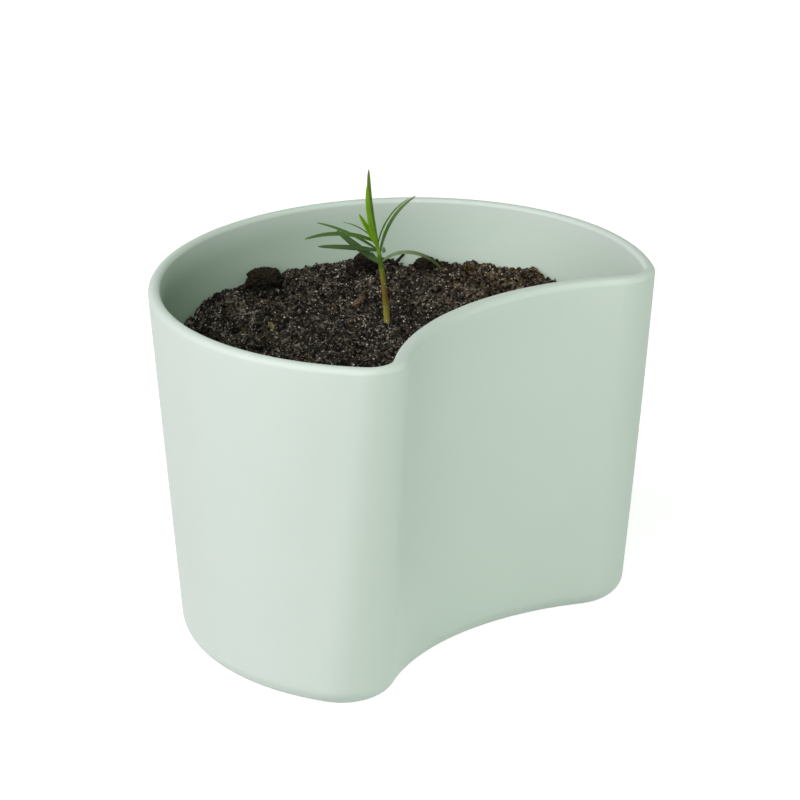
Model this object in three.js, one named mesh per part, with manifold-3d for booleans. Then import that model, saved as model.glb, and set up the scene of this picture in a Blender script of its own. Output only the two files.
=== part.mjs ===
// A bean-shaped flower pot, filled with compost and planted with one conifer seedling.
// Millimetres, +Z up. The origin is the centre of the pot's footprint, on the ground,
// and the concave side of the pot faces -Y.

import * as THREE from "three";
import { mergeVertices } from "three/addons/utils/BufferGeometryUtils.js";
import Module from "manifold-3d";

// Pot, plan at the rim
const rimRadius = 72.5; // round wall
const biteRadius = 68; // concave wall
const biteDistance = 99.8; // between the centres of the two walls
const tipRadius = 11.8; // outer corner where they meet
const innerTipRadius = 6.4;

// Pot, upright
const potHeight = 105;
const roundDraft = 3.67; // degrees from upright
const biteDraft = 4.5;
const roundWall = 3.5; // thickness
const biteWall = 4.6;
const floorThickness = 4;
const lipOuterRound = 2;
const lipInnerRound = 1.3;
const baseRound = 5.6; // outer bottom edge
const floorRound = 6; // inner bottom edge
const baseTipRadius = 15.3; // outer corner at the ground
const innerBaseTipRadius = 11;
const footWidth = 9; // ring that the pot stands on
const footHeight = 1; // depth of the hollow inside that ring
const sharpestTip = 0.5; // what is left of a corner that is moved far inwards

// Planting
const clearance = 0.3; // between any two pieces
const compostDepth = 19; // mean level, below the rim
const compostUnevenness = 1.1;
const crumbHeight = 0.8; // of the bumps that cover the compost's top
const leftFall = 2.6; // how far the top falls towards the left tip
const leftFallStart = 18; // left of the middle
const leftFallEnd = 34;
const bankStart = 3; // from the round wall: there the top is led over to the edge's heights
const bankEnd = 14;
const bankFade = 15; // degrees of bearing over which that ends
const stemX = 4.9;
const stemY = 0;
const stemHeight = 24.6; // above the compost's mean level
const stemRadius = 0.92;
const stemTipRadius = 0.64;
const stemTopRound = 2.6; // length of the stem's narrowing tip
const stemLean = 2.26; // how far the top stands off the foot
const stemLeanPower = 1.6; // the stem starts upright and leans more towards its top
const stemLeanHeading = 136; // degrees anticlockwise from +X, as are all headings
const rootLength = 26;
const rootTipRadius = 0.25;

// Where the compost meets the round wall: its height over the compost's mean level, by the
// bearing from the wall's centre
const edgeHeights = [
  [-5, -1.4], [6, -0.5], [8, 0.1], [11.5, 1.7], [14, 0.6], [16, -0.3], [18, 0.5], [20.5, 0.2],
  [22.5, 0.7], [26, -0.2], [28, 1.3], [31.5, -0.8], [33.5, 0], [36, -0.4], [38, 0.5],
  [45, -1.7], [48.5, 0], [51, 1.6], [62, 1.1], [69.5, 1.1], [71.5, 0.5], [76, 1.1], [79, 0.6],
  [88, 1], [94, -0.1], [98, 1.1], [102, 1.3], [112, -1], [118, -2.3],
];

// What lies on the compost: its bearing from the round wall's centre, the distance from
// that wall to its middle, its half sizes, its heading and tilt, the height of its middle
// over the compost's mean level, and its blockiness, where 2 is an egg and more is a block
const lumps = [
  {
    name: "clod_left", bearing: 88.3, fromWall: 6.5, half: [5.9, 4.6, 4.3],
    heading: -44, tilt: 0, rise: 2.5, power: 2.4,
  },
  {
    name: "clod_middle", bearing: 57.1, fromWall: 7.8, half: [3.6, 3.3, 4.3],
    heading: -44, tilt: 0, rise: 1.7, power: 3.6,
  },
  {
    name: "clod_right", bearing: 39.7, fromWall: 7.4, half: [4.5, 3.4, 3.3],
    heading: -44, tilt: 0, rise: 1.2, power: 1.5,
  },
  {
    name: "bark_chip", bearing: 68.4, fromWall: 34.4, half: [3.4, 1, 0.8],
    heading: 4, tilt: 29, rise: 1.4, power: 3,
  },
];
const lumpDetail = 3; // how often each side of the lump's triangles is split

// The twig that stands out of the compost
const twigBearing = 48.6;
const twigFromWall = 3.5;
const twigLength = 10;
const twigRadius = 0.75;
const twigBuried = 5.6;
const twigHeading = -44;
const twigClimb = 47.5;

// The needles, from the lowest whorl up. Each leaves the line of the stem's middle a little
// below its top, or above it where belowTop is less than 0, along a heading, climbs at an
// angle, turns by an angle over its length and is rolled about its own length.
const needles = [
  {
    name: "needle_left_broad", belowTop: 5.3, heading: 100, climb: 21, turn: 6,
    length: 17, width: 2, roll: -54,
  },
  {
    name: "needle_right_droop", belowTop: 5.2, heading: -63, climb: 48, turn: -98,
    length: 21.1, width: 1.15, roll: 50,
  },
  {
    name: "needle_left_low", belowTop: 1.5, heading: 128, climb: 7, turn: -10,
    length: 17.6, width: 1.45, roll: -60,
  },
  {
    name: "needle_left_top", belowTop: 1.5, heading: 115, climb: 32, turn: -27,
    length: 20.2, width: 1.05, roll: -25,
  },
  {
    name: "needle_right_outer", belowTop: 3.3, heading: -75, climb: 82, turn: -47,
    length: 24.5, width: 1.1, roll: 80,
  },
  {
    name: "needle_right_inner", belowTop: -0.2, heading: -5, climb: 75, turn: -62,
    length: 17.1, width: 0.75, roll: 0,
  },
  {
    name: "needle_left_long", belowTop: -1, heading: 151, climb: 31, turn: -45,
    length: 22.1, width: 1.35, roll: -45,
  },
  {
    name: "needle_left_small", belowTop: -0.9, heading: 95, climb: 36, turn: -44,
    length: 14, width: 0.6, roll: 0,
  },
  {
    name: "needle_crown_tall", belowTop: 1.1, heading: 100, climb: 74, turn: 18,
    length: 23.8, width: 1.6, roll: -30,
  },
  {
    name: "needle_crown_second", belowTop: 1.1, heading: 174, climb: 67, turn: 26,
    length: 20.6, width: 1.6, roll: -100,
  },
  {
    name: "needle_crown_short", belowTop: 0.5, heading: 149, climb: 64, turn: -2,
    length: 11.8, width: 1.5, roll: -70,
  },
];
const needleThickness = 0.45; // as a share of the width
const budBelowTop = 1.4;
const budHeading = -44;
const budHalf = [0.6, 0.6, 0.95];

// How finely curves are stepped
const roundSteps = 48;
const biteSteps = 18;
const tipSteps = 7;
const edgeSteps = 4;
const wallSteps = 3;
const compostRings = 18;
const compostFineness = 1.25; // of its outline, next to the pot's
const stemSides = 10;
const stemSteps = 9;
const needleSteps = 9;

const wasm = await Module();
wasm.setup();

const degrees = THREE.MathUtils.degToRad;
const lerp = THREE.MathUtils.lerp;
const wholeTurn = 2 * Math.PI;

// Solids

// A closed body through rings of [x, y, z] that all have the same number of points.
// Rings run anticlockwise seen from the end that the body grows towards.
function skin(rings) {
  const count = rings[0].length;
  const positions = rings.flat(2);
  const faces = [];
  for (let level = 0; level + 1 < rings.length; level += 1) {
    for (let i = 0; i < count; i += 1) {
      const a = level * count + i;
      const b = level * count + ((i + 1) % count);
      faces.push(a, b, b + count, a, b + count, a + count);
    }
  }
  const last = (rings.length - 1) * count;
  for (const [a, b, c] of cap(rings[0])) faces.push(a, c, b);
  for (const [a, b, c] of cap(rings[rings.length - 1])) faces.push(last + a, last + b, last + c);
  const geometry = new THREE.BufferGeometry();
  geometry.setAttribute("position", new THREE.Float32BufferAttribute(positions, 3));
  geometry.setIndex(faces);
  return geometry;
}

// The triangles that close a ring, in the ring's own plane.
function cap(ring) {
  const corners = ring.map((point) => new THREE.Vector3(...point));
  const normal = new THREE.Vector3();
  corners.forEach((corner, i) => {
    normal.add(corner.clone().cross(corners[(i + 1) % corners.length]));
  });
  const flat = new THREE.Quaternion().setFromUnitVectors(normal.normalize(), new THREE.Vector3(0, 0, 1));
  const outline = corners.map((corner) => {
    const turned = corner.applyQuaternion(flat);
    return new THREE.Vector2(turned.x, turned.y);
  });
  return THREE.ShapeUtils.triangulateShape(outline, []);
}

function toSolid(geometry) {
  const bare = geometry.clone();
  bare.deleteAttribute("normal");
  bare.deleteAttribute("uv");
  const merged = mergeVertices(bare, 1e-5);
  const vertProperties = new Float32Array(merged.attributes.position.array);
  const triVerts = new Uint32Array(merged.index.array);
  return new wasm.Manifold(new wasm.Mesh({ numProp: 3, vertProperties, triVerts }));
}

function toGeometry(solid) {
  const mesh = solid.getMesh();
  const geometry = new THREE.BufferGeometry();
  geometry.setAttribute("position", new THREE.Float32BufferAttribute(mesh.vertProperties, 3));
  geometry.setIndex(Array.from(mesh.triVerts));
  return geometry;
}

// Where a cut leaves crumbs, the biggest of the pieces is the real one.
function biggest(solid) {
  return solid.decompose().reduce((best, piece) => (piece.volume() > best.volume() ? piece : best));
}

// Pot

// The fillet between the round wall and the bite: its centre, right of the middle.
function tipCentre(round, bite, tip) {
  const fromRound = round - tip;
  const fromBite = bite + tip;
  const y = -(fromRound ** 2 - fromBite ** 2 + biteDistance ** 2) / (2 * biteDistance);
  return new THREE.Vector2(Math.sqrt(fromRound ** 2 - y ** 2), y);
}

// Half way between the back wall and the tips, seen from the round wall's centre.
const tipFront = tipCentre(rimRadius, biteRadius, tipRadius).y - tipRadius;
const roundCentreY = -(rimRadius + tipFront) / 2;

function arc(centreX, centreY, radius, from, to, steps) {
  const points = [];
  for (let i = 0; i < steps; i += 1) {
    const angle = lerp(from, to, i / steps);
    points.push([centreX + radius * Math.cos(angle), centreY + radius * Math.sin(angle)]);
  }
  return points;
}

// The plan at one level: round wall, left tip, bite, right tip, anticlockwise.
function plan(round, bite, wantedTip, fineness = 1) {
  const tip = Math.max(wantedTip, sharpestTip);
  const centre = tipCentre(round, bite, tip);
  const roundEnd = Math.atan2(centre.y, centre.x);
  const biteEnd = Math.atan2(centre.y + biteDistance, centre.x);
  const tipY = roundCentreY + centre.y;
  const biteY = roundCentreY - biteDistance;
  const roundCount = Math.round(fineness * roundSteps);
  const tipCount = Math.round(fineness * tipSteps);
  const biteCount = Math.round(fineness * biteSteps);
  return [
    ...arc(0, roundCentreY, round, roundEnd, Math.PI - roundEnd, roundCount),
    ...arc(-centre.x, tipY, tip, Math.PI - roundEnd, wholeTurn - biteEnd, tipCount),
    ...arc(0, biteY, bite, Math.PI - biteEnd, biteEnd, biteCount),
    ...arc(centre.x, tipY, tip, Math.PI + biteEnd, wholeTurn + roundEnd, tipCount),
  ];
}

// The plan of the outer face at a height, moved inwards by a distance.
function outerPlan(z, inwards) {
  const below = potHeight - z;
  return plan(
    rimRadius - below * Math.tan(degrees(roundDraft)) - inwards,
    biteRadius + below * Math.tan(degrees(biteDraft)) + inwards,
    lerp(tipRadius, baseTipRadius, below / potHeight) - inwards,
  );
}

// The plan of the inner face at a height, moved inwards by a distance.
function innerPlan(z, inwards, fineness = 1) {
  const below = potHeight - z;
  return plan(
    rimRadius - below * Math.tan(degrees(roundDraft)) - roundWall - inwards,
    biteRadius + below * Math.tan(degrees(biteDraft)) + biteWall + inwards,
    lerp(innerTipRadius, innerBaseTipRadius, below / potHeight) - inwards,
    fineness,
  );
}

function raise(outline, z) {
  return outline.map(([x, y]) => [x, y, z]);
}

function potGeometry() {
  const quarter = Math.PI / 2;
  const rings = [];
  rings.push(raise(outerPlan(0, baseRound + footWidth), footHeight));
  rings.push(raise(outerPlan(0, baseRound + footWidth), 0));
  for (let i = 0; i <= edgeSteps; i += 1) {
    const angle = (quarter * i) / edgeSteps;
    const z = baseRound * (1 - Math.cos(angle));
    rings.push(raise(outerPlan(z, baseRound * (1 - Math.sin(angle))), z));
  }
  for (let i = 1; i < wallSteps; i += 1) {
    const z = lerp(baseRound, potHeight - lipOuterRound, i / wallSteps);
    rings.push(raise(outerPlan(z, 0), z));
  }
  for (let i = 0; i <= edgeSteps; i += 1) {
    const angle = (quarter * i) / edgeSteps;
    const z = potHeight - lipOuterRound * (1 - Math.sin(angle));
    rings.push(raise(outerPlan(z, lipOuterRound * (1 - Math.cos(angle))), z));
  }
  for (let i = 0; i <= edgeSteps; i += 1) {
    const angle = (quarter * i) / edgeSteps;
    const z = potHeight - lipInnerRound * (1 - Math.cos(angle));
    rings.push(raise(innerPlan(z, -lipInnerRound * (1 - Math.sin(angle))), z));
  }
  for (let i = 1; i < wallSteps; i += 1) {
    const z = lerp(potHeight - lipInnerRound, floorThickness + floorRound, i / wallSteps);
    rings.push(raise(innerPlan(z, 0), z));
  }
  for (let i = 0; i <= edgeSteps; i += 1) {
    const angle = (quarter * i) / edgeSteps;
    const z = floorThickness + floorRound * (1 - Math.sin(angle));
    rings.push(raise(innerPlan(z, floorRound * (1 - Math.cos(angle))), z));
  }
  return skin(rings);
}

// Compost

const compostLevel = potHeight - compostDepth;

// Three crossing swells of different lengths, with bumps on them and a fall to the left.
function swells(x, y) {
  const long = Math.sin(x / 17 + 0.6) * Math.cos(y / 14 - 0.4);
  const middle = Math.sin(x / 7.3 + y / 9.1 + 2);
  const short = Math.sin(x / 4.1 - y / 5.3);
  const bumpsX = Math.sin(x / 1.7 + 1.4 * Math.sin(y / 4.3));
  const bumpsY = Math.sin(y / 1.9 + 1.2 * Math.sin(x / 3.9 + 1));
  const fall = leftFall * THREE.MathUtils.smoothstep(-x, leftFallStart, leftFallEnd);
  const swell = compostUnevenness * (0.5 * long + 0.3 * middle + 0.2 * short);
  return compostLevel - fall + swell + crumbHeight * bumpsX * bumpsY;
}

// The height of the compost's edge at a bearing, between the two stated heights beside it.
function edgeLevel(bearing) {
  const next = Math.max(edgeHeights.findIndex(([angle]) => angle >= bearing), 1);
  const [after, high] = edgeHeights[next];
  const [before, low] = edgeHeights[next - 1];
  return compostLevel + lerp(low, high, (bearing - before) / (after - before));
}

// The compost's top: the swells, led over to the heights at which it meets the round wall.
function compostTop(x, y) {
  const smoothstep = THREE.MathUtils.smoothstep;
  const wall = rimRadius - compostDepth * Math.tan(degrees(roundDraft)) - roundWall;
  const bearing = THREE.MathUtils.radToDeg(Math.atan2(y - roundCentreY, x));
  const first = edgeHeights[0][0];
  const last = edgeHeights[edgeHeights.length - 1][0];
  if (bearing < first - bankFade || bearing > last + bankFade) return swells(x, y);
  const near = 1 - smoothstep(wall - Math.hypot(x, y - roundCentreY), bankStart, bankEnd);
  const begun = smoothstep(bearing, first - bankFade, first);
  const ended = smoothstep(bearing, last, last + bankFade);
  const edge = edgeLevel(THREE.MathUtils.clamp(bearing, first, last));
  return lerp(swells(x, y), edge, near * begun * (1 - ended));
}

// The point at the compost's mean level that lies off the round wall along a bearing.
function seat(bearing, fromWall) {
  const radius = rimRadius - compostDepth * Math.tan(degrees(roundDraft)) - roundWall - fromWall;
  const x = radius * Math.cos(degrees(bearing));
  const y = roundCentreY + radius * Math.sin(degrees(bearing));
  return new THREE.Vector3(x, y, compostLevel);
}

function compostGeometry() {
  const quarter = Math.PI / 2;
  const bottom = floorThickness + clearance;
  const top = compostLevel - compostUnevenness;
  const rings = [];
  for (let i = 0; i <= edgeSteps; i += 1) {
    const angle = (quarter * i) / edgeSteps;
    const z = bottom + floorRound * (1 - Math.cos(angle));
    rings.push(raise(innerPlan(z, clearance + floorRound * (1 - Math.sin(angle)), compostFineness), z));
  }
  for (let i = 1; i < wallSteps; i += 1) {
    const z = lerp(bottom + floorRound, top, i / wallSteps);
    rings.push(raise(innerPlan(z, clearance, compostFineness), z));
  }
  const edge = innerPlan(top, clearance, compostFineness);
  for (let i = 0; i < compostRings; i += 1) {
    const share = 1 - i / compostRings;
    rings.push(edge.map(([x, y]) => [share * x, share * y, compostTop(share * x, share * y)]));
  }
  return skin(rings);
}

// A lump with an uneven outside. Its pocket in the compost is the same lump, made bigger.
function lumpGeometry({ bearing, fromWall, half, heading, tilt, rise, power }, bigger) {
  const geometry = new THREE.IcosahedronGeometry(1, lumpDetail);
  const position = geometry.attributes.position;
  const point = new THREE.Vector3();
  for (let i = 0; i < position.count; i += 1) {
    point.fromBufferAttribute(position, i);
    const sum = Math.abs(point.x) ** power + Math.abs(point.y) ** power + Math.abs(point.z) ** power;
    const block = sum ** (-1 / power);
    const swell = Math.sin(3.1 * point.x + half[0]) * Math.cos(2.7 * point.y + half[1]);
    const dent = Math.sin(5.3 * point.z + 4.1 * point.x + half[2]);
    const size = block * (0.91 + 0.07 * swell + 0.04 * dent);
    point.set(
      point.x * (half[0] * size + bigger),
      point.y * (half[1] * size + bigger),
      point.z * (half[2] * size + bigger),
    );
    position.setXYZ(i, point.x, point.y, point.z);
  }
  const place = seat(bearing, fromWall);
  geometry.rotateY(-degrees(tilt));
  geometry.rotateZ(degrees(heading));
  geometry.translate(place.x, place.y, place.z + rise);
  return geometry;
}

function twigGeometry(bigger) {
  const geometry = new THREE.CylinderGeometry(
    0.7 * twigRadius + bigger,
    twigRadius + bigger,
    twigLength + 2 * bigger,
    stemSides,
  );
  geometry.translate(0, twigLength / 2 - twigBuried, 0);
  geometry.rotateZ(degrees(twigClimb - 90));
  geometry.rotateX(Math.PI / 2);
  geometry.rotateZ(degrees(twigHeading));
  geometry.translate(...seat(twigBearing, twigFromWall).toArray());
  return geometry;
}

// Seedling

// The stem's middle line.
function stemPoint(height) {
  const lean = stemLean * Math.max(height / stemHeight, 0) ** stemLeanPower;
  return new THREE.Vector3(
    stemX + lean * Math.cos(degrees(stemLeanHeading)),
    stemY + lean * Math.sin(degrees(stemLeanHeading)),
    compostLevel + height,
  );
}

function stemRadiusAt(height) {
  if (height < 0) return lerp(stemRadius, rootTipRadius, -height / rootLength);
  const toTop = THREE.MathUtils.clamp(1 - (stemHeight - height) / stemTopRound, 0, 1);
  return lerp(stemRadius, stemTipRadius, height / stemHeight) * Math.max(Math.sqrt(1 - toTop ** 2), 0.3);
}

function stemGeometry(bigger) {
  const rings = [];
  const steps = 2 * stemSteps;
  for (let i = 0; i <= steps; i += 1) {
    const height = lerp(-rootLength - bigger, stemHeight + bigger, i / steps);
    const middle = stemPoint(height);
    const radius = stemRadiusAt(THREE.MathUtils.clamp(height, -rootLength, stemHeight)) + bigger;
    const ring = [];
    for (let side = 0; side < stemSides; side += 1) {
      const angle = (wholeTurn * side) / stemSides;
      ring.push([middle.x + radius * Math.cos(angle), middle.y + radius * Math.sin(angle), middle.z]);
    }
    rings.push(ring);
  }
  return skin(rings);
}

// The share of its full width that a needle has along its length.
function needleTaper(share) {
  const swelling = 0.5 + 0.5 * Math.sin(Math.PI * Math.min(share / 0.7, 0.5));
  const narrowing = Math.sqrt(Math.max(1 - share ** 4, 0));
  return Math.max(swelling * narrowing, 0.12);
}

// A flat needle with a keel above and below, swept along its bend.
function needleGeometry({ belowTop, heading, climb, turn, length, width, roll }, bigger) {
  const along = new THREE.Vector3(Math.cos(degrees(heading)), Math.sin(degrees(heading)), 0);
  const level = new THREE.Vector3(-along.y, along.x, 0);
  const up = new THREE.Vector3(0, 0, 1);
  const step = (length + 2 * bigger) / needleSteps;
  const middle = stemPoint(stemHeight - belowTop);
  const rings = [];
  for (let i = 0; i <= needleSteps; i += 1) {
    const share = i / needleSteps;
    const angle = degrees(climb + turn * share);
    const forward = along.clone().multiplyScalar(Math.cos(angle)).addScaledVector(up, Math.sin(angle));
    const upright = along.clone().multiplyScalar(-Math.sin(angle)).addScaledVector(up, Math.cos(angle));
    const across = level.clone().applyAxisAngle(forward, degrees(roll));
    const keel = upright.clone().applyAxisAngle(forward, degrees(roll));
    if (i === 0) middle.addScaledVector(forward, -bigger);
    const wide = (width / 2) * needleTaper(share) + bigger;
    const thick = (width / 2) * needleThickness * needleTaper(share) + bigger;
    const upper = [[wide, 0], [wide / 2, thick], [-wide / 2, thick]];
    const section = [...upper, ...upper.map(([a, b]) => [-a, -b])];
    rings.push(section.map(([a, b]) => {
      return middle.clone().addScaledVector(across, a).addScaledVector(keel, b).toArray();
    }));
    const next = degrees(climb + turn * (share + 0.5 / needleSteps));
    middle.addScaledVector(along, step * Math.cos(next)).addScaledVector(up, step * Math.sin(next));
  }
  return skin(rings);
}

function budGeometry() {
  const height = stemHeight - budBelowTop;
  const reach = stemRadiusAt(height) + clearance + budHalf[0];
  const foot = stemPoint(height);
  const geometry = new THREE.SphereGeometry(1, stemSides, 6);
  geometry.rotateX(Math.PI / 2);
  geometry.scale(...budHalf);
  geometry.translate(
    foot.x + reach * Math.cos(degrees(budHeading)),
    foot.y + reach * Math.sin(degrees(budHeading)),
    foot.z,
  );
  return geometry;
}

// Materials

function material(color, roughness) {
  return new THREE.MeshStandardMaterial({ color, roughness, metalness: 0 });
}

const potMaterial = material(0xd2dcd3, 0.55);
const compostMaterial = material(0x2a221d, 0.95);
const clodMaterial = material(0x241c18, 0.95);
const barkMaterial = material(0x6b4a30, 0.9);
const twigMaterial = material(0x3a3028, 0.9);
const stemMaterial = material(0x8a8429, 0.6);
const needleMaterial = material(0x4d8a2c, 0.5);
const youngNeedleMaterial = material(0x74b22c, 0.5);

// Assembly

function add(group, name, geometry, meshMaterial) {
  geometry.computeVertexNormals();
  const mesh = new THREE.Mesh(geometry, meshMaterial);
  mesh.name = name;
  group.add(mesh);
}

const flowerPot = new THREE.Group();
const planting = new THREE.Group();
flowerPot.add(planting);

add(flowerPot, "pot_shell", potGeometry(), potMaterial);

// The compost, with a pocket for everything that sits in it.
let compost = toSolid(compostGeometry());
compost = compost.subtract(toSolid(stemGeometry(clearance)));
compost = compost.subtract(toSolid(twigGeometry(clearance)));
for (const lump of lumps) {
  compost = compost.subtract(toSolid(lumpGeometry(lump, clearance)));
  add(planting, lump.name, lumpGeometry(lump, 0), lump.name === "bark_chip" ? barkMaterial : clodMaterial);
}
add(planting, "compost", toGeometry(biggest(compost)), compostMaterial);
add(planting, "twig", twigGeometry(0), twigMaterial);

// The seedling. Each piece is cut clear of the ones that grow below it.
add(planting, "stem", stemGeometry(0), stemMaterial);
let taken = toSolid(stemGeometry(clearance));
for (const needle of needles) {
  const solid = biggest(toSolid(needleGeometry(needle, 0)).subtract(taken));
  const young = needle.name.includes("crown");
  add(planting, needle.name, toGeometry(solid), young ? youngNeedleMaterial : needleMaterial);
  taken = taken.add(toSolid(needleGeometry(needle, clearance)));
}
const bud = biggest(toSolid(budGeometry()).subtract(taken));
add(planting, "bud", toGeometry(bud), youngNeedleMaterial);

export default flowerPot;
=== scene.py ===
import math
import random
from collections import namedtuple

import bmesh
import bpy
import numpy as np
from mathutils import Matrix, Vector, noise


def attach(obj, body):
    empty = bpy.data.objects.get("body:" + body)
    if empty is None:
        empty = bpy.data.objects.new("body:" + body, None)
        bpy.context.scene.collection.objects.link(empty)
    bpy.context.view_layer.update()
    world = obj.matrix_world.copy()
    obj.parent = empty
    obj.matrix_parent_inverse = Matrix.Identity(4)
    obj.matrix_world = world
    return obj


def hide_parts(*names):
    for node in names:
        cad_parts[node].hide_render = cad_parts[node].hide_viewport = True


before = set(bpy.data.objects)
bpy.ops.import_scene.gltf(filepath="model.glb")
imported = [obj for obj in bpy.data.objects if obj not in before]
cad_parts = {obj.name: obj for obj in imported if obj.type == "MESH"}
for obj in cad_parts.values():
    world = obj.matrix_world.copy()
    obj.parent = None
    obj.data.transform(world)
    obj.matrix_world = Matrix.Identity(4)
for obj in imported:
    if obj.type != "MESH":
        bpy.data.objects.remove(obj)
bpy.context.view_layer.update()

# A bean-shaped flower pot with compost and a conifer seedling. Metres, +Z up, the concave
# side faces -Y. The driving sizes are those of the solids; the meshes here are finer.

MM = 0.001
UP = Vector((0, 0, 1))

# Pot
RIM_RADIUS = 72.5 * MM
BITE_RADIUS = 68 * MM
BITE_DISTANCE = 99.8 * MM
TIP_RADIUS = 11.8 * MM
INNER_TIP_RADIUS = 6.4 * MM
POT_HEIGHT = 105 * MM
ROUND_DRAFT = math.radians(3.67)
BITE_DRAFT = math.radians(4.5)
ROUND_WALL = 3.5 * MM
BITE_WALL = 4.6 * MM
FLOOR_THICKNESS = 4 * MM
LIP_OUTER_ROUND = 2 * MM
LIP_INNER_ROUND = 1.3 * MM
BASE_ROUND = 5.6 * MM
FLOOR_ROUND = 6 * MM
BASE_TIP_RADIUS = 15.3 * MM
INNER_BASE_TIP_RADIUS = 11 * MM
FOOT_WIDTH = 9 * MM
FOOT_HEIGHT = 1 * MM
# The foot's inner edge: distance inwards in mm, height as a share of the foot's
FOOT_EDGE = ((0.6, 1.0), (0.25, 0.9), (0.0, 0.5), (-0.2, 0.1), (-0.6, 0.0))
SHARP_EDGE = math.radians(50)
SHARPEST_TIP = 0.5 * MM

# Planting
CLEARANCE = 0.3 * MM
BANK_START = 3 * MM
BANK_END = 14 * MM
BANK_FADE_DEGREES = 15
COMPOST_LEVEL = POT_HEIGHT - 19 * MM
UNEVENNESS = 1.1 * MM
CRUMB_HEIGHT = 0.8 * MM
COMPOST_FALL = 2.6 * MM
FALL_START = 18 * MM
FALL_END = 34 * MM
STEM_FOOT = Vector((4.9 * MM, 0, COMPOST_LEVEL))
STEM_HEIGHT = 24.6 * MM
STEM_RADIUS = 0.92 * MM
STEM_TIP_RADIUS = 0.64 * MM
STEM_LEAN = 2.26 * MM
STEM_LEAN_HEADING = math.radians(136)
STEM_LEAN_POWER = 1.6
ROOT_LENGTH = 26 * MM
ROOT_TIP_RADIUS = 0.25 * MM
STEM_TOP_ROUND = 2.6 * MM
# The stem's uneven skin: height as a share of the radius, and spacing
STEM_RELIEF = 0.12
STEM_RELIEF_SPACING = 2.2 * MM
# Crumbs of the compost's top: full height and spacing in mm, and place in their pattern
CRUMB_LAYERS = ((0.9, 2.9, 0.3), (0.7, 1.6, 4.7), (0.4, 0.9, 9.1))
# A crumb's reach as a share of the crumbs' spacing, and their mean height as a share of the full
CRUMB_REACH = 0.75
MEAN_CRUMB = 0.45
# Where the compost's top drops to the wall's gap, as a share of its reach, and by how much
EDGE_START = 0.985
EDGE_DROP = 0.3 * MM
CELLS = 250

# Where the compost meets the round wall: its height in mm over the compost's mean level, by
# the bearing from the wall's centre
EDGE_HEIGHTS = (
    (-5, -1.4), (6, -0.5), (8, 0.1), (11.5, 1.7), (14, 0.6), (16, -0.3), (18, 0.5), (20.5, 0.2),
    (22.5, 0.7), (26, -0.2), (28, 1.3), (31.5, -0.8), (33.5, 0), (36, -0.4), (38, 0.5),
    (45, -1.7), (48.5, 0), (51, 1.6), (62, 1.1), (69.5, 1.1), (71.5, 0.5), (76, 1.1), (79, 0.6),
    (88, 1), (94, -0.1), (98, 1.1), (102, 1.3), (112, -1), (118, -2.3),
)

# The photograph's camera
CAMERA_PLACE = (-0.7624, -0.8083, 0.5061)
CAMERA_HEADING = math.radians(43.68)
CAMERA_TILT = math.radians(21.68)
CAMERA_ROLL = math.radians(-1.0)
CAMERA_LENS = 186.2
SENSOR = 36.0
LAMP_DISTANCE = 1.7
LAMP_AIM = Vector((0, 0, 0.06))

# White floor and surroundings, and the faint light that these cast into the shade
FLOOR_REACH = 12.0
FLOOR_GREY = 0.6
FLOOR_GLOW = 0.84
SHADE_LIGHT = 0.1
SHADE_TINT = (0.78, 1.0, 0.78)


# Meshes

def lerp(a, b, share):
    return a + (b - a) * share


def towards(heading, climb=0.0):
    """A direction by its heading, anticlockwise from +X, and its climb."""
    return Vector((math.cos(heading) * math.cos(climb), math.sin(heading) * math.cos(climb), math.sin(climb)))


def make_piece(name, points, faces, material, body):
    mesh = bpy.data.meshes.new(name)
    mesh.from_pydata([tuple(p) for p in points], [], faces)
    mesh.validate()
    mesh.update()
    mesh.polygons.foreach_set("use_smooth", [True] * len(mesh.polygons))
    mesh.materials.append(material)
    piece = bpy.data.objects.new(name, mesh)
    bpy.context.scene.collection.objects.link(piece)
    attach(piece, body)
    return piece


def add_layer(piece, name, values):
    """A value for each point of a piece, for its material to read."""
    layer = piece.data.attributes.new(name, "FLOAT", "POINT")
    layer.data.foreach_set("value", values)


def add_body(points, faces, body_points, body_faces):
    """Adds a closed body to the points and faces of a piece that is made of many."""
    start = len(points)
    points += body_points
    faces += [[start + i for i in face] for face in body_faces]


def skin(rings):
    """Points and faces of a closed body through rings with the same number of points."""
    count = len(rings[0])
    points = [point for ring in rings for point in ring]
    faces = []
    for level in range(len(rings) - 1):
        for i in range(count):
            a = level * count + i
            b = level * count + (i + 1) % count
            faces.append((a, b, b + count, a + count))
    last = (len(rings) - 1) * count
    faces.append(tuple(reversed(range(count))))
    faces.append(tuple(range(last, last + count)))
    return points, faces


# Plan of the pot

def tip_centre(round_radius, bite, tip):
    y = -((round_radius - tip) ** 2 - (bite + tip) ** 2 + BITE_DISTANCE ** 2) / (2 * BITE_DISTANCE)
    return math.sqrt((round_radius - tip) ** 2 - y ** 2), y


ROUND_CENTRE_Y = -(RIM_RADIUS + tip_centre(RIM_RADIUS, BITE_RADIUS, TIP_RADIUS)[1] - TIP_RADIUS) / 2


def arc(x, y, radius, start, end, steps):
    angles = [lerp(start, end, i / steps) for i in range(steps)]
    return [(x + radius * math.cos(a), y + radius * math.sin(a)) for a in angles]


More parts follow.
